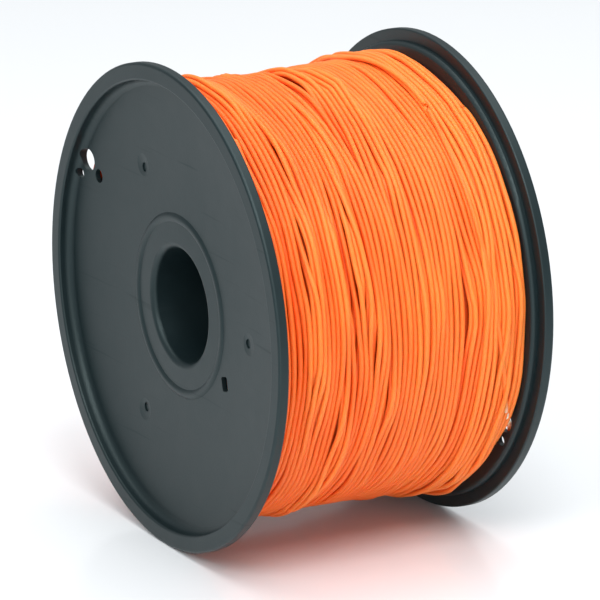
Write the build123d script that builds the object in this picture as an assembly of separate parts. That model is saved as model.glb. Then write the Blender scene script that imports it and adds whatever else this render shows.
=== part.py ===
"""Filament spool: two flange mouldings that snap together through a barrel, and the filament wound on it.

The frame is in millimetres. +Y runs along the bore from the front flange to the rear one, +Z is up, and the
origin is on the bore's axis, half way between the flanges. Angles round the bore go from +X towards +Z.
Both flanges are the same moulding: the rear one is the front one turned over, end for end.
"""
import os
from math import cos, radians, sin, tan

from build123d import *

# Overall sizes
SPOOL_WIDTH = 103.0
FLANGE_DIAMETER = 165.0
BORE_DIAMETER = 39.0

# Raised rim round each flange: a lip, stepped out from the web by a wall
RIM_WIDTH = 6.0
RIM_THICKNESS = 3.7
RIM_OUTER_ROUND = 1.0
RIM_MOUTH_ROUND = 0.8
RIM_BACK_ROUND = 0.6
RIM_WALL = 1.8
RIM_STEP_ROUND = 1.5

# Web: a shallow dish, given by its depth below the rim's face
WEB_THICKNESS = 1.8
WEB_DEPTH_AT_RIM = 4.5
WEB_DEPTH_AT_GATES = 6.6
WEB_DEPTH_AT_BARREL = 7.0
WEB_DEPTH_AT_BORE = 6.9
WEB_CORNER_ROUND = 2.5

# Barrel that the filament is wound on, and the groove and bead that seat it in each web
BARREL_DIAMETER = 62.6
BARREL_WALL = 2.6
SEAT_DEPTH = 1.4
BEAD_SPREAD = 0.3
BEAD_HEIGHT = 0.65

# Sleeve round the bore, half of it on each flange
SLEEVE_WALL = 2.2
BORE_MOUTH_ROUND = 2.0

# Snap arms that reach across the middle and hook into the other sleeve
SNAP_COUNT = 3
FIRST_SNAP_ANGLE = 30.0
SNAP_WIDTH_ANGLE = 40.0
SNAP_THICKNESS = 2.0
SNAP_ROOT_LENGTH = 7.0
SNAP_ROOT_SETBACK = 10.0
SNAP_REACH = 9.0
HOOK_LENGTH = 3.2
HOOK_DEPTH = 1.0

# Gussets inside the barrel
GUSSET_COUNT = 6
GUSSET_THICKNESS = 1.8
GUSSET_HEIGHT_AT_SLEEVE = 10.0
GUSSET_HEIGHT_AT_BARREL = 3.5

# Gate marks left by moulding
GATE_COUNT = 3
GATE_CIRCLE_RADIUS = 48.7
GATE_DISH_DIAMETER = 7.5
GATE_DISH_DEPTH = 0.35
GATE_PIT_DIAMETER = 3.2
GATE_PIT_DEPTH = 0.8

# Holes that hold the filament's ends
END_HOLE_DIAMETER = 8.0
END_HOLE_ANGLE = 150.2
SECOND_HOLE_DIAMETER = 3.8
SECOND_HOLE_ANGLE = 156.3
PARK_HOLE_DIAMETER = 4.8
PARK_HOLE_INSET = 12.1
PARK_HOLE_ANGLE = 150.6
PARK_HOLE_CHAMFER = 0.5
START_HOLE_LENGTH = 4.9
START_HOLE_WIDTH = 4.0
START_HOLE_RADIUS = 37.0
START_HOLE_ANGLE = 330.0
START_HOLE_TILT = 44.0
START_HOLE_ROUND = 0.8
RIM_HOLE_CLEARANCE = 0.3

# Filament
FILAMENT_DIAMETER = 1.75
WINDING_MARGIN = 8.5
WINDING_SHOULDER = 2.0

# Clearances
SLIDE_GAP = 0.1
HOOK_GAP = 0.2
FILAMENT_GAP = 0.3

# Turning the front flange over about this line round the bore makes the rear one: its snap arms then fall
# in the gaps between the front one's
TURN_OVER_ANGLE = FIRST_SNAP_ANGLE + 90.0 / SNAP_COUNT

# The filament's outer end, off the last turn and out through the rear flange, as height above the
# winding, angle from the rear end hole, and distance in from the rear flange's face
END_ROUTE = [
    (2.2, 91.5, 22.0),
    (2.4, 73.5, 21.7),
    (2.4, 54.5, 21.0),
    (2.4, 37.5, 18.8),
    (2.4, 23.5, 15.8),
    (2.0, 13.5, 12.8),
    (1.2, 5.0, 9.7),
    (-0.4, -4.0, 2.8),
    (-0.6, -12.5, 1.3),
]

# The filament's inner end, as distance round from the rear start hole's middle and height above the web's
# side: the first point above the side that faces the winding, the others above the outer side
START_ROUTE = [(-0.5, 0.34), (1.9, 1.14), (9.5, 1.94)]

flange_radius = FLANGE_DIAMETER / 2
bore_radius = BORE_DIAMETER / 2
sleeve_radius = bore_radius + SLEEVE_WALL
rim_inner_radius = flange_radius - RIM_WIDTH
wall_radius = rim_inner_radius + RIM_WALL
barrel_radius = BARREL_DIAMETER / 2
barrel_inner_radius = barrel_radius - BARREL_WALL
seat_outer_radius = barrel_radius + SLIDE_GAP
seat_inner_radius = barrel_inner_radius - SLIDE_GAP
bead_outer_radius = barrel_radius + BEAD_SPREAD
bead_inner_radius = barrel_inner_radius - BEAD_SPREAD
bead_middle_radius = (barrel_radius + barrel_inner_radius) / 2
winding_radius = flange_radius - WINDING_MARGIN
face_y = -SPOOL_WIDTH / 2
seat_floor_y = face_y + WEB_DEPTH_AT_BARREL + WEB_THICKNESS - SEAT_DEPTH


def around(radius, angle, y=0.0):
    """The point at a radius and an angle round the bore."""
    return Vector(radius * cos(radians(angle)), y, radius * sin(radians(angle)))


def spin(shape, angle):
    """Turn a shape round the bore by an angle from +X towards +Z."""
    return shape.rotate(Axis.Y, -angle)


def copies(shape, count, first_angle=0.0):
    """A shape repeated evenly round the bore."""
    return [spin(shape, first_angle + index * 360.0 / count) for index in range(count)]


def turned(outline):
    """Turn a closed outline of lines and arcs, drawn as radius against y, all the way round the bore."""
    edges = [edge for line in outline for edge in line.edges()]
    return revolve(make_face(edges), Axis.Y)


def sector(outline, width_angle):
    """Sweep a closed outline, given as (radius, y) corners, through an angle centred on +X."""
    face = make_face(Polyline(*outline, close=True))
    return spin(revolve(face, Axis.Y, width_angle), width_angle / 2)


def plug(diameter, position, length):
    """A cylinder parallel to the bore, centred on a position, to cut a round hole with."""
    return Location(position) * Rotation(90, 0, 0) * Cylinder(diameter / 2, length)


def web_curve(end_radius, lift=0.0):
    """The dished line of the web, from the rim in to an end radius, lifted towards the filament."""
    return ThreePointArc(
        (rim_inner_radius, face_y + WEB_DEPTH_AT_RIM + lift),
        (GATE_CIRCLE_RADIUS, face_y + WEB_DEPTH_AT_GATES + lift),
        (end_radius, face_y + WEB_DEPTH_AT_BARREL + lift),
    )


def web_y(radius):
    """The y of the web's outer surface at one radius."""
    line = Line((radius, face_y), (radius, 0))
    return line.intersect(web_curve(bead_outer_radius)).vertices()[0].Y


def flange_disc():
    """The rim, the dished web, the bead, the barrel's seat and half of the sleeve, as one turned shape."""
    outer_web = web_curve(bead_outer_radius)
    inner_web = web_curve(seat_outer_radius, WEB_THICKNESS)
    bore_y = face_y + WEB_DEPTH_AT_BORE
    inner_bore_y = bore_y + WEB_THICKNESS
    bead_y = face_y + WEB_DEPTH_AT_BARREL
    inner_hub_y = bead_y + WEB_THICKNESS
    step_y = inner_web.position_at(0).Y
    lip_y = face_y + RIM_THICKNESS
    outline = [
        Polyline((rim_inner_radius, outer_web.position_at(0).Y), (rim_inner_radius, face_y),
                 (flange_radius, face_y), (flange_radius, lip_y), (wall_radius, lip_y),
                 (wall_radius, step_y), (rim_inner_radius, step_y)),
        inner_web,
        Polyline((seat_outer_radius, inner_hub_y), (seat_outer_radius, seat_floor_y),
                 (seat_inner_radius, seat_floor_y), (seat_inner_radius, inner_hub_y),
                 (sleeve_radius, inner_bore_y), (sleeve_radius, -SLIDE_GAP / 2),
                 (bore_radius, -SLIDE_GAP / 2), (bore_radius, bore_y), (sleeve_radius, bore_y),
                 (bead_inner_radius, bead_y)),
        ThreePointArc((bead_inner_radius, bead_y), (bead_middle_radius, bead_y - BEAD_HEIGHT),
                      (bead_outer_radius, bead_y)),
        outer_web,
    ]
    return turned(outline)


def snap_arm():
    """One arm, centred on +X: a root on its own sleeve, then a free blade with a hook at its tip."""
    anchor = sleeve_radius - SLEEVE_WALL / 2
    inner = sleeve_radius + SLIDE_GAP
    outer = inner + SNAP_THICKNESS
    hook = inner - HOOK_DEPTH
    chamfer = SNAP_THICKNESS / 2
    root_y = -SNAP_ROOT_SETBACK
    base_y = root_y - SNAP_ROOT_LENGTH
    ledge_y = SNAP_REACH - HOOK_LENGTH
    root = [(anchor, root_y), (anchor, base_y), (outer - chamfer, base_y), (outer, base_y + chamfer)]
    tip = [(outer, SNAP_REACH - chamfer), (outer - chamfer, SNAP_REACH), (inner, SNAP_REACH)]
    catch = [(hook, SNAP_REACH - HOOK_LENGTH / 2), (hook, ledge_y), (inner, ledge_y), (inner, root_y)]
    return sector(root + tip + catch, SNAP_WIDTH_ANGLE)


def snap_pocket():
    """The pocket outside a sleeve, centred on +X, that the other flange's hook drops into."""
    floor = sleeve_radius + SLIDE_GAP - HOOK_DEPTH - HOOK_GAP
    near_y = -(SNAP_REACH + HOOK_GAP)
    far_y = -(SNAP_REACH - HOOK_LENGTH - HOOK_GAP)
    width = SNAP_WIDTH_ANGLE + 2.0
    outside = sleeve_radius + 1.0
    return sector([(floor, near_y), (outside, near_y), (outside, far_y), (floor, far_y)], width)


def gusset():
    """One triangular gusset, along +X, that stiffens the sleeve's root and centres the barrel."""
    base_y = face_y + WEB_DEPTH_AT_BARREL + WEB_THICKNESS / 2
    inner = sleeve_radius - SLEEVE_WALL / 2
    outer = seat_inner_radius
    side = Polyline((inner, base_y), (outer, base_y), (outer, base_y + GUSSET_HEIGHT_AT_BARREL),
                    (inner, base_y + GUSSET_HEIGHT_AT_SLEEVE), close=True)
    return extrude(make_face(side), GUSSET_THICKNESS / 2, both=True)


def gate_mark():
    """What a gate leaves in the web, on +X: a round pit in the middle of a shallow dish."""
    y = web_y(GATE_CIRCLE_RADIUS)
    ball_radius = (GATE_DISH_DIAMETER ** 2 / 4 + GATE_DISH_DEPTH ** 2) / (2 * GATE_DISH_DEPTH)
    dish = Location((GATE_CIRCLE_RADIUS, y + GATE_DISH_DEPTH - ball_radius, 0)) * Sphere(ball_radius)
    pit = plug(GATE_PIT_DIAMETER, (GATE_CIRCLE_RADIUS, y, 0), 2 * GATE_PIT_DEPTH)
    return dish + pit


def filament_holes():
    """The end and second holes against the rim, the parking hole, and the start hole by the barrel."""
    through = 4 * WEB_THICKNESS
    cuts = []
    clear_radius = rim_inner_radius - RIM_HOLE_CLEARANCE
    park_radius = rim_inner_radius - PARK_HOLE_INSET
    for diameter, radius, angle in [
        (END_HOLE_DIAMETER, clear_radius - END_HOLE_DIAMETER / 2, END_HOLE_ANGLE),
        (SECOND_HOLE_DIAMETER, clear_radius - SECOND_HOLE_DIAMETER / 2, SECOND_HOLE_ANGLE),
        (PARK_HOLE_DIAMETER, park_radius, PARK_HOLE_ANGLE),
    ]:
        cuts.append(plug(diameter, around(radius, angle, web_y(radius)), through))
    countersink_radius = PARK_HOLE_DIAMETER / 2 + PARK_HOLE_CHAMFER
    countersink = Cone(countersink_radius, countersink_radius - 2 * PARK_HOLE_CHAMFER, 2 * PARK_HOLE_CHAMFER)
    park = around(park_radius, PARK_HOLE_ANGLE, web_y(park_radius))
    cuts.append(Location(park) * Rotation(-90, 0, 0) * countersink)
    start = Box(START_HOLE_WIDTH, through, START_HOLE_LENGTH)
    start = fillet(start.edges().filter_by(Axis.Y), START_HOLE_ROUND)
    start = Location((START_HOLE_RADIUS, web_y(START_HOLE_RADIUS), 0)) * spin(start, START_HOLE_TILT)
    cuts.append(spin(start, START_HOLE_ANGLE))
    return cuts


def ring_edges(shape, radius, y):
    """The circular edges of a turned shape at a radius and a height."""
    found = [edge for edge in shape.edges().filter_by(GeomType.CIRCLE)
             if abs(edge.radius - radius) < 1e-3 and abs(edge.arc_center.Y - y) < 1e-3]
    return ShapeList(found)


def flange():
    """The front flange: one moulding, with its arms, pockets, gussets, gate marks and holes."""
    body = flange_disc()
    body = fillet(ring_edges(body, flange_radius, face_y), RIM_OUTER_ROUND)
    body = fillet(ring_edges(body, flange_radius, face_y + RIM_THICKNESS), RIM_BACK_ROUND)
    body = fillet(ring_edges(body, rim_inner_radius, face_y), RIM_MOUTH_ROUND)
    body = fillet(ring_edges(body, rim_inner_radius, face_y + WEB_DEPTH_AT_RIM), WEB_CORNER_ROUND)
    step_y = face_y + WEB_DEPTH_AT_RIM + WEB_THICKNESS
    body = fillet(ring_edges(body, wall_radius, step_y), RIM_STEP_ROUND)
    body = fillet(ring_edges(body, bore_radius, face_y + WEB_DEPTH_AT_BORE), BORE_MOUTH_ROUND)
    body = body + copies(gusset(), GUSSET_COUNT) + copies(snap_arm(), SNAP_COUNT, FIRST_SNAP_ANGLE)
    body = body - copies(snap_pocket(), SNAP_COUNT, FIRST_SNAP_ANGLE + 180.0 / SNAP_COUNT)
    body = body - copies(gate_mark(), GATE_COUNT)
    return body - filament_holes()


def turned_over(shape):
    """A shape of the front flange, turned over end for end to the rear."""
    return shape.rotate(Axis((0, 0, 0), around(1.0, TURN_OVER_ANGLE)), 180)


def barrel():
    """The plain tube between the two seats."""
    length = -2 * seat_floor_y - SLIDE_GAP
    tube = Cylinder(barrel_radius, length) - Cylinder(barrel_inner_radius, length)
    return Rotation(90, 0, 0) * tube


def winding():
    """The wound filament as one ring on the barrel, just clear of both webs, with its edges cut back."""
    side = web_curve(seat_outer_radius, WEB_THICKNESS + FILAMENT_GAP)
    rim_y = side.position_at(0).Y
    barrel_y = side.position_at(1).Y
    outline = [
        side,
        Polyline((seat_outer_radius, barrel_y), (barrel_radius, barrel_y), (barrel_radius, 0),
                 (rim_inner_radius, 0), (rim_inner_radius, rim_y)),
    ]
    section = make_face([edge for line in outline for edge in line.edges()])
    shoulder_radius = winding_radius - WINDING_SHOULDER
    shoulder_y = web_y(shoulder_radius) + WEB_THICKNESS + FILAMENT_GAP
    limit = Polyline((0, 0), (winding_radius, 0), (winding_radius, shoulder_y + WINDING_SHOULDER),
                     (shoulder_radius, shoulder_y), (shoulder_radius, face_y), (0, face_y), close=True)
    half = revolve(section & make_face(limit), Axis.Y)
    return half + mirror(half, Plane.XZ)


def strand(points):
    """A length of filament along straight runs joined by arcs, each as large as its two runs allow."""
    radii = []
    for before, corner, after in zip(points, points[1:], points[2:]):
        half_turn = (corner - before).get_angle(after - corner) / 2
        shorter = min((corner - before).length, (after - corner).length)
        radii.append(0.45 * shorter / tan(radians(half_turn)))
    path = FilletPolyline(*points, radius=radii)
    section = Plane(origin=path @ 0, z_dir=path % 0) * Circle(FILAMENT_DIAMETER / 2)
    solid = sweep(section, path)
    print("arc radii", [round(radius, 1) for radius in radii], "length", round(path.length, 1),
          "volume ratio", round(solid.volume / (section.area * path.length), 4))
    return solid


def filament_end():
    """The outer end, drawn across the last turns and out through the rear end hole."""
    hole_angle = 2 * TURN_OVER_ANGLE - END_HOLE_ANGLE
    return strand([around(winding_radius + height, hole_angle + angle, -face_y - inset)
                   for height, angle, inset in END_ROUTE])


def filament_start():
    """The inner end, out of the winding's side through the rear start hole and bent flat on the web."""
    hole_angle = 2 * TURN_OVER_ANGLE - START_HOLE_ANGLE
    outer_side = around(START_HOLE_RADIUS, hole_angle, -web_y(START_HOLE_RADIUS))
    inner_side = outer_side - Vector(0, WEB_THICKNESS, 0)
    tangent = around(1.0, hole_angle + 90.0)
    sides = [inner_side] + [outer_side] * (len(START_ROUTE) - 1)
    return strand([side + tangent * distance + Vector(0, height, 0)
                   for side, (distance, height) in zip(sides, START_ROUTE)])


def main():
    """Write one STEP file for each piece."""
    os.makedirs("parts", exist_ok=True)
    front = flange()
    pieces = {
        "front_flange": front,
        "rear_flange": turned_over(front),
        "barrel": barrel(),
        "filament_winding": winding(),
        "filament_start": filament_start(),
        "filament_end": filament_end(),
    }
    for name, shape in pieces.items():
        export_step(shape, f"parts/{name}.step")


main()
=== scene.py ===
"""Filament spool: the wound filament laid turn by turn, the two black flanges' finish, and a pale studio.

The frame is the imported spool's, in metres: +Y runs along the bore, +Z is up, and the origin is on the bore's
axis, half way between the flanges. Angles round the bore go from +X towards +Z. Sizes below are millimetres
where a name ends in _MM, and metres elsewhere.
"""

import bpy
import numpy as np
from bpy.props import FloatProperty, FloatVectorProperty, IntProperty, PointerProperty
from bpy.types import Operator, Panel, PropertyGroup
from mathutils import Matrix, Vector


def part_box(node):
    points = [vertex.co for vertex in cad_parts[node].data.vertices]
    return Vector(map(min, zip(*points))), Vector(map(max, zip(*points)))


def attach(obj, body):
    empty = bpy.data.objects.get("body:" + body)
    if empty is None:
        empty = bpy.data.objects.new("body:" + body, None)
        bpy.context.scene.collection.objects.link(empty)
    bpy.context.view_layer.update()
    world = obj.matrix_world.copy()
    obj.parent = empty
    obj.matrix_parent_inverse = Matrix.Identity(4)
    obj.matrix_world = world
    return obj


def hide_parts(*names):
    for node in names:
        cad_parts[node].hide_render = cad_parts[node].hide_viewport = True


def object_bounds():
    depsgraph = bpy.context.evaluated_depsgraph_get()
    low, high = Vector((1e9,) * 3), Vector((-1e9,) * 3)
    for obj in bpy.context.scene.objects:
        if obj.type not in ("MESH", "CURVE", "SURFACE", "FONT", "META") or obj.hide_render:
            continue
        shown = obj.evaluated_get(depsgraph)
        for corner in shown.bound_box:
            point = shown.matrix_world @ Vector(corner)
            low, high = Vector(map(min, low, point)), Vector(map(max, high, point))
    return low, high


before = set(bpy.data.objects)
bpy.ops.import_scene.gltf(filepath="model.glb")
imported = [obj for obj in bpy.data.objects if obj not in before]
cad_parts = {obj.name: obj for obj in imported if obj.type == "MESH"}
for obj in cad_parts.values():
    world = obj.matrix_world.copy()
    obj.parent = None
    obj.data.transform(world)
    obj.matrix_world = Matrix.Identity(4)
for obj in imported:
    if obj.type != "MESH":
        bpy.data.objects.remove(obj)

bl_info = {
    "name": "Filament spool",
    "version": (1, 0, 0),
    "blender": (4, 5, 0),
    "location": "3D View > Sidebar > Spool",
    "description": "Lays the filament on a spool turn by turn, finishes its flanges and lights it",
    "category": "Object",
}

MM = 0.001
BODY = "root"

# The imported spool's own sizes
CAD_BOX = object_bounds()
FLANGE_RADIUS = CAD_BOX[1].z
HALF_WIDTH = CAD_BOX[1].y
FLOOR_Z = CAD_BOX[0].z
BARREL_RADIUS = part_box("barrel")[1].z
WINDING_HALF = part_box("filament_winding")[1].y

# The web's side that faces the filament: radius and depth below the flange's face
WEB_SIDE_MM = [(76.5, 6.3), (48.7, 8.4), (31.4, 8.8)]

# The winding's outside without its top layers: distance from the front flange's face, and radius
CORE_PROFILE_MM = [(7.0, 68.3), (33.0, 68.6), (53.0, 68.9), (73.0, 69.3), (99.0, 69.6)]

# How far the buried turns stay clear of the webs, where only shadow shows between them
SIDE_RECESS = 3.0 * MM

# Turns in each layer that is laid, from the innermost: the last one stops part way
LAYER_TURNS = [46, 47, 44, 7]

# How loosely each layer is wound: a share of the settings' waviness and bunching
LAYER_SLACK = [0.6, 0.6, 1.0, 1.0]

# Steps round the spool that a turn is drawn in, and those in which the last turn rises to the outer end
TURN_STEPS = 240
LEAD_OFF_STEPS = 30

# How far past the winding's nominal side the outermost turns may lie, in the hollow of the web
SIDE_SQUEEZE = 0.6 * MM

# Waves that a turn strays in: the most periods round the spool, and where the short ones start to fade
MOST_PERIODS = 9
FADING_PERIODS = 5

# How many turns share a wave's size: the reach and the spread of the smearing from turn to turn
SMEAR_REACH = 6
SMEAR_SPREAD = 1.3

# Sliding sideways into a valley: tries on each side, a try's length, and its costs as millimetres of height
SLIDE_TRIES = 14
SLIDE_STEP = 0.125 * MM
SLIDE_COST = 0.12
BEND_COST = 0.3
OUTSIDE_COST = 50.0

# Steps over which a turn's sideways path is smoothed, and those added at its two ends for that
SMOOTH_STEPS = 9
LEAD_IN_STEPS = 6

# Rounds of pulling a turn tight
TENSION_ROUNDS = 150

# Radii between which the laid turns go from the painted deep shade to the filament's own colour: turns lying
# lower are painted darker and redder as shade
DEPTH_SHADE_RADII_MM = (70.5, 74.8)

# A strand's sides, its end domes' height as a share of its radius, and the steps in one arc of a loose end
STRAND_SIDES = 8
DOME_RISE = 0.25
ARC_STEPS = 24

# The filament's outer end, from the last turn out through the rear end hole: radius, angle in degrees, and y
END_ROUTE_MM = [
    (76.2, 61.3, 29.5),
    (76.4, 43.3, 29.8),
    (76.4, 24.3, 30.5),
    (76.4, 7.3, 32.7),
    (76.4, -6.7, 35.7),
    (76.0, -16.7, 38.7),
    (75.2, -25.2, 41.8),
    (73.6, -34.2, 48.7),
    (73.4, -42.7, 50.2),
]

# The filament's inner end: distance round from the rear start hole's middle, and y
START_HOLE_MM = (37.0, 150.0)
START_ROUTE_MM = [(-0.5, 43.1), (1.9, 45.7), (9.5, 46.5)]

# Where along the outer end a pale patch is painted, and over how much of its length, as shares of the length
PALE_PATCH_PLACE = 0.80
PALE_PATCH_SPREAD = 0.05

# The soft lights: place, and size of the square
LIGHTS = {
    "key": ((0.9, -1.4, 1.3), 0.9),
    "fill": ((1.2, -0.3, 1.7), 1.0),
    "low": ((1.7, -0.7, 0.25), 1.2),
    "top": ((-0.2, 0.2, 1.9), 2.2),
}
FLOOR_REACH = 30.0


# --- Settings a user would change -------------------------------------------------------------------------

class WindingSettings(PropertyGroup):
    """How the filament lies on the spool."""

    strand_diameter: FloatProperty(name="Strand diameter", description="Diameter of the filament",
                                   default=1.75 * MM, min=0.5 * MM, max=4 * MM, unit="LENGTH", precision=5)
    waviness: FloatProperty(name="Waviness", description="How far a turn strays sideways as it goes round",
                            default=0.9 * MM, min=0.0, unit="LENGTH", precision=5)
    bunching: FloatProperty(name="Bunching", description="How unevenly whole turns are spaced",
                            default=0.6 * MM, min=0.0, unit="LENGTH", precision=5)
    seed: IntProperty(name="Seed", description="Which of the many possible windings is laid",
                      default=5, min=0)


class FilamentFinish(PropertyGroup):
    """The filament's plastic."""

    colour: FloatVectorProperty(name="Colour", description="Colour of the filament", subtype="COLOR",
                                default=(1.0, 0.22, 0.035), min=0.0, max=1.0)
    # Painted shade: the darker, redder colour mixed onto the turns that lie lowest
    deep_shade_colour: FloatVectorProperty(name="Deep colour", description="Colour of the turns that lie lowest",
                                     subtype="COLOR", default=(0.90, 0.10, 0.008), min=0.0, max=1.0)
    # The colour of a pale patch painted on the outer end, four fifths of the way along it
    pale_patch_colour: FloatVectorProperty(name="Strained colour", description="Colour where it is bent hard",
                                         subtype="COLOR", default=(1.0, 0.86, 0.72), min=0.0, max=1.0)
    roughness: FloatProperty(name="Roughness", description="How blurred the filament's gloss is",
                             default=0.48, min=0.0, max=1.0, subtype="FACTOR")
    translucency: FloatProperty(name="Translucency", description="How much light spreads inside a strand",
                                default=0.5, min=0.0, max=1.0, subtype="FACTOR")


class FlangeFinish(PropertyGroup):
    """The flanges' black plastic."""

    colour: FloatVectorProperty(name="Colour", description="Colour of the moulded plastic", subtype="COLOR",
                                default=(0.004, 0.010, 0.012), min=0.0, max=1.0)
    roughness: FloatProperty(name="Roughness", description="How matt the moulded plastic is",
                             default=0.45, min=0.0, max=1.0, subtype="FACTOR")
    grain: FloatProperty(name="Grain depth", description="Depth of the mould's fine grain",
                         default=0.02 * MM, min=0.0, unit="LENGTH", precision=6)


class StudioSettings(PropertyGroup):
    """The camera, the lights and the floor."""

    lens: FloatProperty(name="Lens", description="Focal length in millimetres", default=316.0, min=20.0)
    distance: FloatProperty(name="Distance", description="From the camera to what it aims at",
                            default=1.7761, min=0.2, unit="LENGTH")
    azimuth: FloatProperty(name="Azimuth", description="Turn of the camera round the spool, from the front",
                           default=np.radians(61.18), unit="ROTATION")
    elevation: FloatProperty(name="Elevation", description="Height of the camera above the horizon",
                             default=np.radians(16.7), unit="ROTATION")
    aim: FloatVectorProperty(name="Aim", description="The point that the camera looks at",
                             default=(0.0016, 0.0005, -0.004), subtype="TRANSLATION", unit="LENGTH")
    floor_colour: FloatVectorProperty(name="Floor colour", description="Colour of the floor", subtype="COLOR",
                                      default=(0.86, 0.88, 0.90), min=0.0, max=1.0)
    key_power: FloatProperty(name="Key light", description="Power of the light left of the camera, in watts",
                             default=15.0, min=0.0)
    fill_power: FloatProperty(name="Fill light", description="Power of the light above the camera, in watts",
                              default=22.0, min=0.0)
    low_power: FloatProperty(name="Low light", description="Power of the light right of the camera, in watts",
                             default=7.0, min=0.0)
    top_power: FloatProperty(name="Top light", description="Power of the broad light overhead, in watts",
                             default=32.0, min=0.0)
    sky: FloatProperty(name="Sky", description="Brightness of the room", default=0.48, min=0.0)


# --- Shader writing ---------------------------------------------------------------------------------------

class Wire:
    """A socket that can be added, multiplied and so on, which adds the Math nodes that do it."""

    def __init__(self, finish, socket):
        self.finish = finish
        self.socket = socket

    def reckon(self, operation, *values):
        return self.finish.node("Math", {"operation": operation}, *values)

    def __add__(self, other):
        return self.reckon("ADD", self, other)

    def __sub__(self, other):
        return self.reckon("SUBTRACT", self, other)

    def __rsub__(self, other):
        return self.reckon("SUBTRACT", other, self)

    def __mul__(self, other):
        return self.reckon("MULTIPLY", self, other)

    def __truediv__(self, other):
        return self.reckon("DIVIDE", self, other)

    def __pow__(self, other):
        return self.reckon("POWER", self, other)

    def __abs__(self):
        return self.reckon("ABSOLUTE", self)

    def clamped(self):
        return self.finish.node("Clamp", {}, self, 0.0, 1.0)

    __radd__ = __add__
    __rmul__ = __mul__


class Finish:
    """A material being written, with one method that makes every node but the shader and the output."""

    def __init__(self, name):
        self.material = bpy.data.materials.new(name)
        self.material.use_nodes = True
        self.tree = self.material.node_tree
        self.tree.nodes.clear()
        output = self.tree.nodes.new("ShaderNodeOutputMaterial")
        self.shader = self.tree.nodes.new("ShaderNodeBsdfPrincipled")
        self.tree.links.new(self.shader.outputs["BSDF"], output.inputs["Surface"])

    def feed(self, socket, value):
        if isinstance(value, Wire):
            self.tree.links.new(value.socket, socket)
        elif value is not None:
            socket.default_value = value

    def node(self, kind, settings, *values, output=0, **named):
        """A node of a kind, set up and with its sockets fed in order or by name, as one output's wire."""
        made = self.tree.nodes.new("ShaderNode" + kind)
        stops = settings.pop("stops", None)
        for key, value in settings.items():
            setattr(made, key, value)
        if stops:
            ramp = made.color_ramp.elements
            while len(ramp) < len(stops):
                ramp.new(1.0)
            for element, (place, shade) in zip(ramp, stops):
                element.position = place
                element.color = (shade, shade, shade, 1.0) if isinstance(shade, float) else shade
        for socket, value in zip(made.inputs, values):
            self.feed(socket, value)
        for key, value in named.items():
            self.feed(made.inputs[key.replace("_", " ")], value)
        return Wire(self, made.outputs[output])

    def place(self):
        """Object coordinates, which are the frame's metres on every piece."""
        return self.node("TexCoord", {}, output="Object")

    def axis(self, vector, letter):
        return self.node("SeparateXYZ", {}, vector, output=letter)

    def noise(self, vector, scale, detail):
        return self.node("TexNoise", {}, Vector=vector, Scale=scale, Detail=detail)

    def ramp(self, wire, *stops):
        return self.node("ValToRGB", {"stops": stops}, wire)

    def mix(self, factor, low, high):
        """A colour between two colours; the five sockets left out are those for numbers and vectors."""
        skipped = [None] * 5
        return self.node("Mix", {"data_type": "RGBA"}, factor, *skipped, low, high, output=2)

    def bump(self, height, distance, below=None):
        return self.node("Bump", {}, Distance=distance, Height=height, Normal=below)

    def set(self, **sockets):
        for key, value in sockets.items():
            self.feed(self.shader.inputs[key.replace("_", " ")], value)


def opaque(colour):
    """A colour with full alpha."""
    return (*colour, 1.0)


def shaded(colour, factor):
    """A colour made lighter or darker, with full alpha."""
    return (*(min(1.0, part * factor) for part in colour), 1.0)


def flange_plastic(settings):
    """Black moulded plastic: satin, with a fine grain, a cloudy tone, faint scuffs and edges worn paler."""
    finish = Finish("black_moulded_plastic")
    place = finish.place()
    radius = (finish.axis(place, "X") ** 2.0 + finish.axis(place, "Z") ** 2.0) ** 0.5
    across = abs(finish.axis(place, "Y"))
    cloud = finish.noise(place, 14.0, 4.0)
    mottle = finish.noise(place, 160.0, 3.0)
    grain = finish.noise(place, 1400.0, 2.0)
    streaks = finish.node("Mapping", {}, Vector=place, Rotation=(0.4, 0.2, 0.9), Scale=(18.0, 18.0, 620.0))
    scratches = finish.ramp(finish.noise(streaks, 1.0, 2.0), (0.66, 0.0), (0.74, 1.0))
    edge_depth, edge_fade = 1.6 * MM, 1.2 * MM
    edge = ((radius - (FLANGE_RADIUS - edge_depth)) / edge_fade).clamped()
    edge = edge * ((across - (HALF_WIDTH - edge_depth)) / edge_fade).clamped()
    wear = (edge * finish.ramp(mottle, (0.42, 0.0), (0.62, 1.0)) * 0.5).clamped()
    tone = (cloud * 0.55 + mottle * 0.35 + wear * 0.5).clamped()
    base = finish.mix(tone, shaded(settings.colour, 0.78), shaded(settings.colour, 1.35))
    rough = settings.roughness - 0.08 + cloud * 0.12 + mottle * 0.06 + scratches * 0.08 - wear * 0.08
    relief = finish.bump(grain, settings.grain, below=finish.bump(cloud, 0.15 * MM))
    finish.set(Base_Color=base, Roughness=rough, Normal=relief, IOR=1.47, Specular_Tint=(0.8, 1.0, 1.0, 1.0))
    return finish.material


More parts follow.
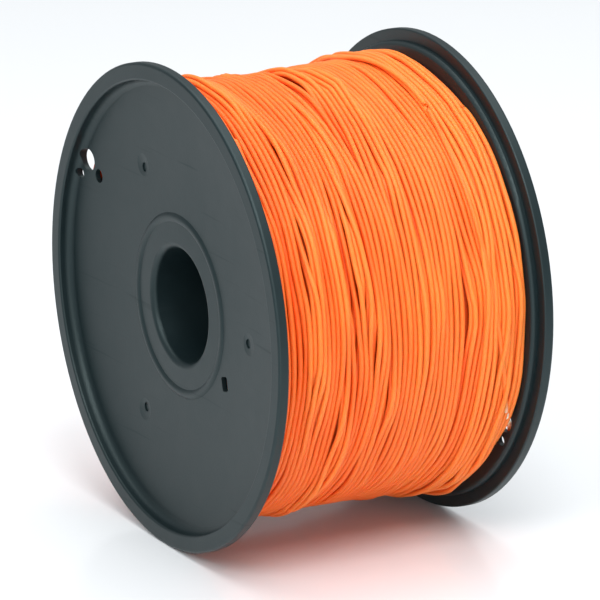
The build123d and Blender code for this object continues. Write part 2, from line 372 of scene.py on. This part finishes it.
def filament_plastic(settings, name, paler_patch=False):
    """Orange plastic that light spreads in, with a tone that differs at random from turn to turn, and painted
    shade: a low tone mixes in the deep shade colour.
    """
    finish = Finish(name)
    place = finish.place()
    tone = finish.node("Attribute", {"attribute_name": "tone"}, output="Fac")
    drift = finish.noise(place, 45.0, 3.0)
    speck = finish.noise(place, 900.0, 2.0)
    # Painted shade: where the tone attribute is low, on turns that lie low, the deep shade colour is mixed in
    blend = (tone + drift * 0.3 - 0.15).clamped()
    base = finish.mix(blend, opaque(settings.deep_shade_colour), opaque(settings.colour))
    # The outer end is painted paler where the attribute set when it is laid is high
    if paler_patch:
        stress = finish.node("Attribute", {"attribute_name": "stress"}, output="Fac")
        base = finish.mix(stress, base, opaque(settings.pale_patch_colour))
    rough = settings.roughness - 0.05 + drift * 0.08 + speck * 0.05
    finish.set(Base_Color=base, Roughness=rough, Normal=finish.bump(speck, 0.01 * MM), IOR=1.38,
               Subsurface_Weight=settings.translucency, Subsurface_Scale=1.5 * MM)
    finish.shader.inputs["Subsurface Radius"].default_value = (1.6, 0.5, 0.15)
    return finish.material


def floor_finish(settings):
    """A pale, faintly glossy sheet, hardly mottled."""
    finish = Finish("pale_floor")
    place = finish.place()
    cloud = finish.noise(place, 3.0, 2.0)
    base = finish.mix(cloud, shaded(settings.floor_colour, 0.985), shaded(settings.floor_colour, 1.01))
    finish.set(Base_Color=base, Roughness=0.14 + cloud * 0.05, IOR=1.6)
    return finish.material


# --- Mesh making ------------------------------------------------------------------------------------------

def around(radius, angle, y):
    """Points at radii and angles round the bore, with their y, as an array with a last axis of three."""
    return np.stack(np.broadcast_arrays(radius * np.cos(angle), y, radius * np.sin(angle)), axis=-1)


def grid_faces(rows, columns, closed_rows=False):
    """Quads of a grid whose columns close up on themselves, each one's corners in order round it."""
    last = rows if closed_rows else rows - 1
    i, j = np.meshgrid(np.arange(last), np.arange(columns), indexing="ij")
    i_next, j_next = (i + 1) % rows, (j + 1) % columns
    corners = [i * columns + j, i * columns + j_next, i_next * columns + j_next, i_next * columns + j]
    return np.stack(corners, axis=-1).reshape(-1, 4)


def make_piece(name, points, quads, triangles, attributes):
    """A smooth mesh object at the origin, from points, quads and triangles, riding on the spool's body."""
    faces = [quads, triangles]
    loops = np.concatenate([part.ravel() for part in faces]).astype(np.int32)
    sizes = np.concatenate([np.full(len(part), part.shape[1]) for part in faces])
    mesh = bpy.data.meshes.new(name)
    mesh.vertices.add(len(points))
    mesh.vertices.foreach_set("co", points.astype(np.float32).ravel())
    mesh.loops.add(len(loops))
    mesh.loops.foreach_set("vertex_index", loops)
    mesh.polygons.add(len(sizes))
    mesh.polygons.foreach_set("loop_start", np.concatenate([[0], np.cumsum(sizes)[:-1]]).astype(np.int32))
    mesh.polygons.foreach_set("use_smooth", np.ones(len(sizes), bool))
    for key, values in attributes.items():
        layer = mesh.attributes.new(key, "FLOAT", "POINT")
        layer.data.foreach_set("value", values.astype(np.float32))
    mesh.update(calc_edges=True)
    mesh.validate()
    piece = bpy.data.objects.new(name, mesh)
    bpy.context.scene.collection.objects.link(piece)
    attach(piece, BODY)
    return piece


def sweep_round(name, line, up, radius, attributes):
    """A round bar along a line: at each point a circle, radius times (cos a * up + sin a * side).

    The side is the line's direction crossed with up. A low dome closes each end, its pole a little beyond.
    """
    direction = np.gradient(line, axis=0)
    direction /= np.linalg.norm(direction, axis=1, keepdims=True)
    up = up - direction * np.sum(up * direction, axis=1, keepdims=True)
    up /= np.linalg.norm(up, axis=1, keepdims=True)
    side = np.cross(direction, up)
    angle = np.linspace(0, 2 * np.pi, STRAND_SIDES, endpoint=False)[:, None]
    ring = line[:, None] + radius * (np.cos(angle) * up[:, None] + np.sin(angle) * side[:, None])
    rise = DOME_RISE * radius
    poles = [line[0] - rise * direction[0], line[-1] + rise * direction[-1]]
    points = np.concatenate([ring.reshape(-1, 3), poles])
    quads = grid_faces(len(line), STRAND_SIDES)[:, ::-1]
    first = np.arange(STRAND_SIDES)
    after = (first + 1) % STRAND_SIDES
    last = first + (len(line) - 1) * STRAND_SIDES
    start_fan = np.stack([np.full(STRAND_SIDES, len(points) - 2), first, after], axis=1)[:, ::-1]
    end_fan = np.stack([np.full(STRAND_SIDES, len(points) - 1), last, after + last[0]], axis=1)
    spread = {key: np.concatenate([np.repeat(values, STRAND_SIDES), values[[0, -1]]])
              for key, values in attributes.items()}
    return make_piece(name, points, quads, np.concatenate([start_fan, end_fan]), spread)


def smooth_line(points, steps):
    """A quadratic B-spline, clamped at its ends: arcs of parabola from one leg's middle to the next one's."""
    joints = np.concatenate([points[:1], (points[1:-2] + points[2:-1]) / 2, points[-1:]])
    share = np.linspace(0, 1, steps, endpoint=False)[:, None]
    arcs = ((1 - share) ** 2 * joints[:-1, None] + 2 * share * (1 - share) * points[1:-1, None]
            + share ** 2 * joints[1:, None])
    return np.concatenate([arcs.reshape(-1, 3), points[-1:]])


# --- The wound filament -----------------------------------------------------------------------------------

def web_side_y(radius):
    """Distance from the spool's middle to a flange's web at a radius: a parabola through three places."""
    radii, depths = np.array(WEB_SIDE_MM).T * MM
    return HALF_WIDTH - np.polyval(np.polyfit(radii, depths, 2), radius)


def core_radius(y):
    """Radius of the buried turns' tops at y."""
    places, radii = np.array(CORE_PROFILE_MM).T * MM
    return np.interp(y + HALF_WIDTH, places, radii)


def ringing(rng, turns, spread):
    """Slow random numbers for each turn and harmonic: white noise smeared over neighbouring turns."""
    rows = turns + 2
    reach = np.arange(-SMEAR_REACH, SMEAR_REACH + 1)
    weight = np.exp(-0.5 * (reach / SMEAR_SPREAD) ** 2)
    weight /= np.sqrt(np.sum(weight ** 2))
    raw = rng.normal(size=(rows + 2 * SMEAR_REACH, len(spread)))
    smeared = sum(part * raw[first:first + rows] for first, part in enumerate(weight))
    return smeared * spread


def resting_radius(y, laid_y, laid_radius, diameter):
    """Where a strand rests at y: on the core, or on the highest laid strand within a diameter to the side.

    On a laid strand it stands off by the square root of diameter squared less the side distance squared.
    """
    radius = core_radius(y) + diameter / 2
    for other_y, other_radius in zip(laid_y, laid_radius):
        gap = diameter ** 2 - (y - other_y) ** 2
        radius = np.where(gap > 0, np.maximum(radius, other_radius + np.sqrt(np.maximum(gap, 0))), radius)
    return radius


def easiest_way(cost, bend_cost, start):
    """The row in each column of a cost table on the cheapest path, which moves by up to two rows a step.

    A step costs bend_cost times the square of the rows it moves by. The path starts in the row called start.
    """
    unreached, forbidden = 1e3, 1e4
    rows, columns = cost.shape
    steps = np.arange(-2, 3)
    total = np.full(rows, unreached)
    total[start] = 0
    came_from = np.zeros((columns, rows), int)
    here = np.arange(rows)
    for column in range(1, columns):
        source = here[None] - steps[:, None]
        inside = (source >= 0) & (source < rows)
        choice = np.where(inside, total[np.clip(source, 0, rows - 1)], forbidden)
        choice = choice + bend_cost * steps[:, None] ** 2
        best = choice.argmin(axis=0)
        came_from[column] = here - steps[best]
        total = choice[best, here] + cost[:, column]
    path = np.zeros(columns, int)
    path[-1] = total.argmin()
    for column in range(columns - 1, 0, -1):
        path[column - 1] = came_from[column, path[column]]
    return path


def pulled_tight(rest, before, angle_step):
    """The radius of a strand under tension over what it rests on: never lower, straight where it spans.

    Each point rises to the middle of its neighbours' chord, as often as TENSION_ROUNDS says.
    """
    held = np.concatenate([[before], rest, rest[-1:]])
    strand = held.copy()
    for _ in range(TENSION_ROUNDS):
        chord = (strand[:-2] + strand[2:]) / 2 * np.cos(angle_step)
        strand[1:-1] = np.maximum(held[1:-1], chord)
    return strand[1:-1]


def lay_turns(settings):
    """The y and radius of every laid turn, at every step round the spool, and the steps' angles.

    A turn is led to its place in its layer, plus waves of whole periods round the spool that drift from
    turn to turn. From there it slides sideways into the nearest easy valley, is smoothed and pulled tight.
    """
    diameter = settings.strand_diameter
    limit = WINDING_HALF - diameter / 2 + SIDE_SQUEEZE
    turns = sum(LAYER_TURNS)
    angle_step = 2 * np.pi / TURN_STEPS
    angles = np.radians(END_ROUTE_MM[0][1]) - angle_step * np.arange(TURN_STEPS)
    layer_ends = np.cumsum([0] + LAYER_TURNS)
    lead = np.array([-limit, limit, -limit, limit, END_ROUTE_MM[0][2] * MM])
    harmonics = np.arange(MOST_PERIODS + 1)
    spread = np.where(harmonics > 0, 0.5 / (1 + (harmonics / FADING_PERIODS) ** 2), 1.0)
    rng = np.random.default_rng(settings.seed)
    cosines = ringing(rng, turns, spread)
    sines = ringing(rng, turns, spread)
    waves = np.exp(1j * harmonics[:, None] * angles)
    share = np.arange(TURN_STEPS) / TURN_STEPS
    slides = np.arange(-SLIDE_TRIES, SLIDE_TRIES + 1) * SLIDE_STEP
    smoother = np.hanning(SMOOTH_STEPS)[1:-1] / np.hanning(SMOOTH_STEPS).sum()
    borrowed = slice(LEAD_IN_STEPS, -LEAD_IN_STEPS)
    all_y = np.zeros((turns, TURN_STEPS))
    all_radius = np.zeros((turns, TURN_STEPS))
    for turn in range(turns):
        slack = LAYER_SLACK[np.searchsorted(layer_ends, turn, side="right") - 1]
        size = slack * np.where(harmonics > 0, settings.waviness, settings.bunching)[:, None]
        real = (1 - share) * cosines[turn][:, None] + share * cosines[turn + 1][:, None]
        imaginary = (1 - share) * sines[turn][:, None] + share * sines[turn + 1][:, None]
        led = np.interp(turn + share, layer_ends, lead)
        led = led + np.sum(size * (real * waves.real + imaginary * waves.imag), axis=0)
        tried = np.clip(led + slides[:, None], -limit, limit)
        near = np.abs(all_y[:turn] - led).min(axis=1, initial=1.0) < slides[-1] + diameter
        laid_y, laid_radius = all_y[:turn][near], all_radius[:turn][near]
        height = resting_radius(tried, laid_y, laid_radius, diameter) / MM
        outside = np.abs(led + slides[:, None]) > limit
        cost = height - height.min() + SLIDE_COST * (slides[:, None] / MM) ** 2 + OUTSIDE_COST * outside
        start = np.abs(tried[:, 0] - (all_y[turn - 1, -1] if turn else tried[SLIDE_TRIES, 0])).argmin()
        y = tried[easiest_way(cost, BEND_COST, start), np.arange(TURN_STEPS)]
        lead_in = all_y[turn - 1, -LEAD_IN_STEPS:] if turn else np.full(LEAD_IN_STEPS, y[0])
        run_out = np.full(LEAD_IN_STEPS, y[-1])
        y = np.convolve(np.concatenate([lead_in, y, run_out]), smoother, "same")[borrowed]
        rest = resting_radius(y, laid_y, laid_radius, diameter)
        all_y[turn] = y
        all_radius[turn] = pulled_tight(rest, all_radius[turn - 1, -1] if turn else rest[0], angle_step)
    led_off = np.clip((np.arange(TURN_STEPS) + 1 - TURN_STEPS) / LEAD_OFF_STEPS + 1, 0, 1)
    led_off = led_off ** 2 * (3 - 2 * led_off)
    all_y[-1] += led_off * (END_ROUTE_MM[0][2] * MM - all_y[-1])
    all_radius[-1] += led_off * (END_ROUTE_MM[0][0] * MM - all_radius[-1])
    return all_y, all_radius, angles


class SPOOL_OT_lay_core(Operator):
    """Make the ring of buried turns under the layers that are laid one by one"""

    bl_idname = "spool.lay_core"
    bl_label = "Lay the buried turns"

    def execute(self, context):
        """Turn a closed section round the bore: ridges a strand apart on top, plain sides clear of the webs.

        A ridge is an arc: its height is the core radius less a strand's radius plus the diameter times the
        square root of a quarter less the square of the share of a strand across it. The bottom is the barrel.
        """
        diameter = context.scene.spool_winding.strand_diameter
        barrel_gap = 0.05 * MM
        clear = 0.4 * MM
        limit = WINDING_HALF - clear
        y = np.linspace(-limit, limit, 400)
        within = (y / diameter) % 1.0 - 0.5
        ridge = core_radius(y) - diameter / 2 + diameter * np.sqrt(0.25 - within ** 2)
        side_radius = np.linspace(core_radius(limit) - diameter, BARREL_RADIUS + barrel_gap, 8)
        side_y = web_side_y(side_radius) - SIDE_RECESS
        section_y = np.concatenate([y, side_y, -side_y[::-1]])
        section_radius = np.concatenate([ridge, side_radius, side_radius[::-1]])
        angle = np.linspace(0, 2 * np.pi, TURN_STEPS, endpoint=False)
        points = around(section_radius[:, None], angle, section_y[:, None]).reshape(-1, 3)
        quads = grid_faces(len(section_y), TURN_STEPS, closed_rows=True)
        no_triangles = np.empty((0, 3), int)
        # Painted shade: the buried turns get a low tone of 0.3, so they mostly take the deep shade colour
        piece = make_piece("buried_turns", points, quads, no_triangles, {"tone": np.full(len(points), 0.3)})
        piece.data.materials.append(filament_material())
        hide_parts("filament_winding")
        return {"FINISHED"}


class SPOOL_OT_lay_turns(Operator):
    """Lay the outer layers of filament turn by turn, each one resting on those before it"""

    bl_idname = "spool.lay_turns"
    bl_label = "Lay the outer turns"

    def execute(self, context):
        """Sweep a round bar along each layer's helix: radius and y are functions of the angle gone round."""
        settings = context.scene.spool_winding
        all_y, all_radius, angles = lay_turns(settings)
        rng = np.random.default_rng(settings.seed + 1)
        tones = rng.uniform(-0.12, 0.12, len(all_y) + 1)
        low, high = np.array(DEPTH_SHADE_RADII_MM) * MM
        layer_ends = np.cumsum([0] + LAYER_TURNS)
        for layer, (first, last) in enumerate(zip(layer_ends, layer_ends[1:])):
            steps = slice(first * TURN_STEPS, min(last * TURN_STEPS + 1, all_y.size))
            y = all_y.ravel()[steps]
            radius = all_radius.ravel()[steps]
            angle = np.resize(angles, all_y.size)[steps]
            tone = np.interp(np.arange(steps.start, steps.stop) / TURN_STEPS, np.arange(len(tones)), tones)
            # Painted shade: the lower a turn lies between the two radii, the lower its tone and the more deep
            # shade colour it gets; the random part is the turn's own tone
            tone = np.clip((radius - low) / (high - low) + tone, 0, 1)
            line = around(radius, angle, y)
            piece = sweep_round(f"turns_layer_{layer + 1}", line, around(1.0, angle, 0.0),
                                settings.strand_diameter / 2, {"tone": tone})
            piece.data.materials.append(filament_material())
            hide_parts("filament_winding")
        return {"FINISHED"}


class SPOOL_OT_lay_end(Operator):
    """Draw the filament's outer end off the last turn and out through the rear flange's end hole"""

    bl_idname = "spool.lay_end"
    bl_label = "Lay the outer end"

    def execute(self, context):
        """Sweep a round bar along a smooth line through the route, painted paler over a short stretch four
        fifths of the way along.
        """
        radius, angle, y = np.array(END_ROUTE_MM).T
        line = smooth_line(around(radius * MM, np.radians(angle), y * MM), ARC_STEPS)
        along = np.linspace(0, 1, len(line))
        stress = np.exp(-((along - PALE_PATCH_PLACE) / PALE_PATCH_SPREAD) ** 2)
        up = line * (1, 0, 1)
        # The outer end's tone of 0.7 mixes some of the painted deep shade colour in
        piece = sweep_round("filament_outer_end", line, up / np.linalg.norm(up, axis=1, keepdims=True),
                            context.scene.spool_winding.strand_diameter / 2,
                            {"tone": np.full(len(line), 0.7), "stress": stress})
        piece.data.materials.append(filament_plastic(context.scene.spool_filament, "strained_filament", True))
        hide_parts("filament_end")
        return {"FINISHED"}


class SPOOL_OT_lay_start(Operator):
    """Bend the filament's inner end over where it comes through the rear flange's start hole"""

    bl_idname = "spool.lay_start"
    bl_label = "Lay the inner end"

    def execute(self, context):
        """Sweep a round bar along a smooth line through the start hole and along the web."""
        radius, hole_angle = START_HOLE_MM[0] * MM, np.radians(START_HOLE_MM[1])
        distance, y = np.array(START_ROUTE_MM).T * MM
        tangent = around(1.0, hole_angle + np.pi / 2, 0.0)
        points = around(radius, hole_angle, y) + distance[:, None] * tangent
        line = smooth_line(points, ARC_STEPS)
        up = np.broadcast_to(around(1.0, hole_angle, 0.0), line.shape)
        # The inner end's tone of 0.5 mixes half of the painted deep shade colour in
        piece = sweep_round("filament_inner_end", line, up, context.scene.spool_winding.strand_diameter / 2,
                            {"tone": np.full(len(line), 0.5)})
        piece.data.materials.append(filament_material())
        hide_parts("filament_start")
        return {"FINISHED"}


def filament_material():
    """The one filament material that every wound piece shares."""
    found = bpy.data.materials.get("orange_filament")
    return found or filament_plastic(bpy.context.scene.spool_filament, "orange_filament")


class SPOOL_OT_finish_flanges(Operator):
    """Give the two flanges and the barrel their moulded plastic"""

    bl_idname = "spool.finish_flanges"
    bl_label = "Finish the flanges"

    def execute(self, context):
        material = flange_plastic(context.scene.spool_flange)
        for name in ("front_flange", "rear_flange", "barrel"):
            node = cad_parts[name]
            node.data.materials.clear()
            node.data.materials.append(material)
        return {"FINISHED"}


def soft_light(name, place, size, power):
    """A square soft light at a place, aimed at the middle of the spool."""
    data = bpy.data.lights.new(name, "AREA")
    data.size = size
    data.energy = power
    light = bpy.data.objects.new(name, data)
    light.location = place
    light.rotation_euler = (-Vector(place)).to_track_quat("-Z", "Y").to_euler()
    bpy.context.scene.collection.objects.link(light)


class SPOOL_OT_set_stage(Operator):
    """Set up the camera, the soft lights, the room and the pale floor"""

    bl_idname = "spool.set_stage"
    bl_label = "Set the stage"

    def execute(self, context):
        settings = context.scene.spool_studio
        self.add_camera(context.scene, settings)
        self.add_floor(settings)
        self.add_room(context.scene, settings)
        for name, (place, size) in LIGHTS.items():
            soft_light(f"{name}_light", place, size, getattr(settings, f"{name}_power"))
        return {"FINISHED"}

    def add_camera(self, scene, settings):
        """A long lens, aimed at the spool from a turn, a height and a distance."""
        data = bpy.data.cameras.new("camera")
        data.lens = settings.lens
        data.clip_end = 100.0
        camera = bpy.data.objects.new("camera", data)
        turn, height = settings.azimuth, settings.elevation
        back = Vector((np.sin(turn) * np.cos(height), -np.cos(turn) * np.cos(height), np.sin(height)))
        camera.location = Vector(settings.aim) + settings.distance * back
        camera.rotation_euler = (-back).to_track_quat("-Z", "Y").to_euler()
        scene.collection.objects.link(camera)
        scene.camera = camera

    def add_floor(self, settings):
        """A flat square under the spool, wide enough to reach the horizon."""
        corners = FLOOR_REACH * np.array([(-1, -1), (1, -1), (1, 1), (-1, 1)])
        points = np.column_stack([corners, np.full(4, FLOOR_Z)])
        mesh = bpy.data.meshes.new("floor")
        mesh.from_pydata(points.tolist(), [], [(0, 1, 2, 3)])
        mesh.materials.append(floor_finish(settings))
        floor = bpy.data.objects.new("floor", mesh)
        bpy.context.scene.collection.objects.link(floor)

    def add_room(self, scene, settings):
        """A plain pale room all round."""
        world = bpy.data.worlds.new("room")
        world.use_nodes = True
        background = world.node_tree.nodes["Background"]
        background.inputs["Color"].default_value = (0.95, 0.98, 1.0, 1.0)
        background.inputs["Strength"].default_value = settings.sky
        scene.world = world
        scene.view_settings.view_transform = "Standard"


class SPOOL_PT_spool(Panel):
    """The spool's steps and settings, in the 3D view's sidebar"""

    bl_label = "Filament spool"
    bl_space_type = "VIEW_3D"
    bl_region_type = "UI"
    bl_category = "Spool"

    def draw(self, context):
        for step in STEPS:
            self.layout.operator(step.bl_idname)
        for key, group in SETTINGS.items():
            box = self.layout.box()
            for name in group.__annotations__:
                box.prop(getattr(context.scene, key), name)


SETTINGS = {
    "spool_winding": WindingSettings,
    "spool_filament": FilamentFinish,
    "spool_flange": FlangeFinish,
    "spool_studio": StudioSettings,
}
STEPS = [SPOOL_OT_set_stage, SPOOL_OT_lay_end, SPOOL_OT_lay_start, SPOOL_OT_lay_core, SPOOL_OT_lay_turns,
         SPOOL_OT_finish_flanges]


def register():
    for group in [*SETTINGS.values(), *STEPS, SPOOL_PT_spool]:
        bpy.utils.register_class(group)
    for key, group in SETTINGS.items():
        setattr(bpy.types.Scene, key, PointerProperty(type=group))


def unregister():
    for key in SETTINGS:
        delattr(bpy.types.Scene, key)
    for group in [SPOOL_PT_spool, *reversed(STEPS), *SETTINGS.values()]:
        bpy.utils.unregister_class(group)


def main():
    """Run every step in order."""
    register()
    for step in STEPS:
        area, action = step.bl_idname.split(".")
        getattr(getattr(bpy.ops, area), action)()


if __name__ == "__main__":
    main()
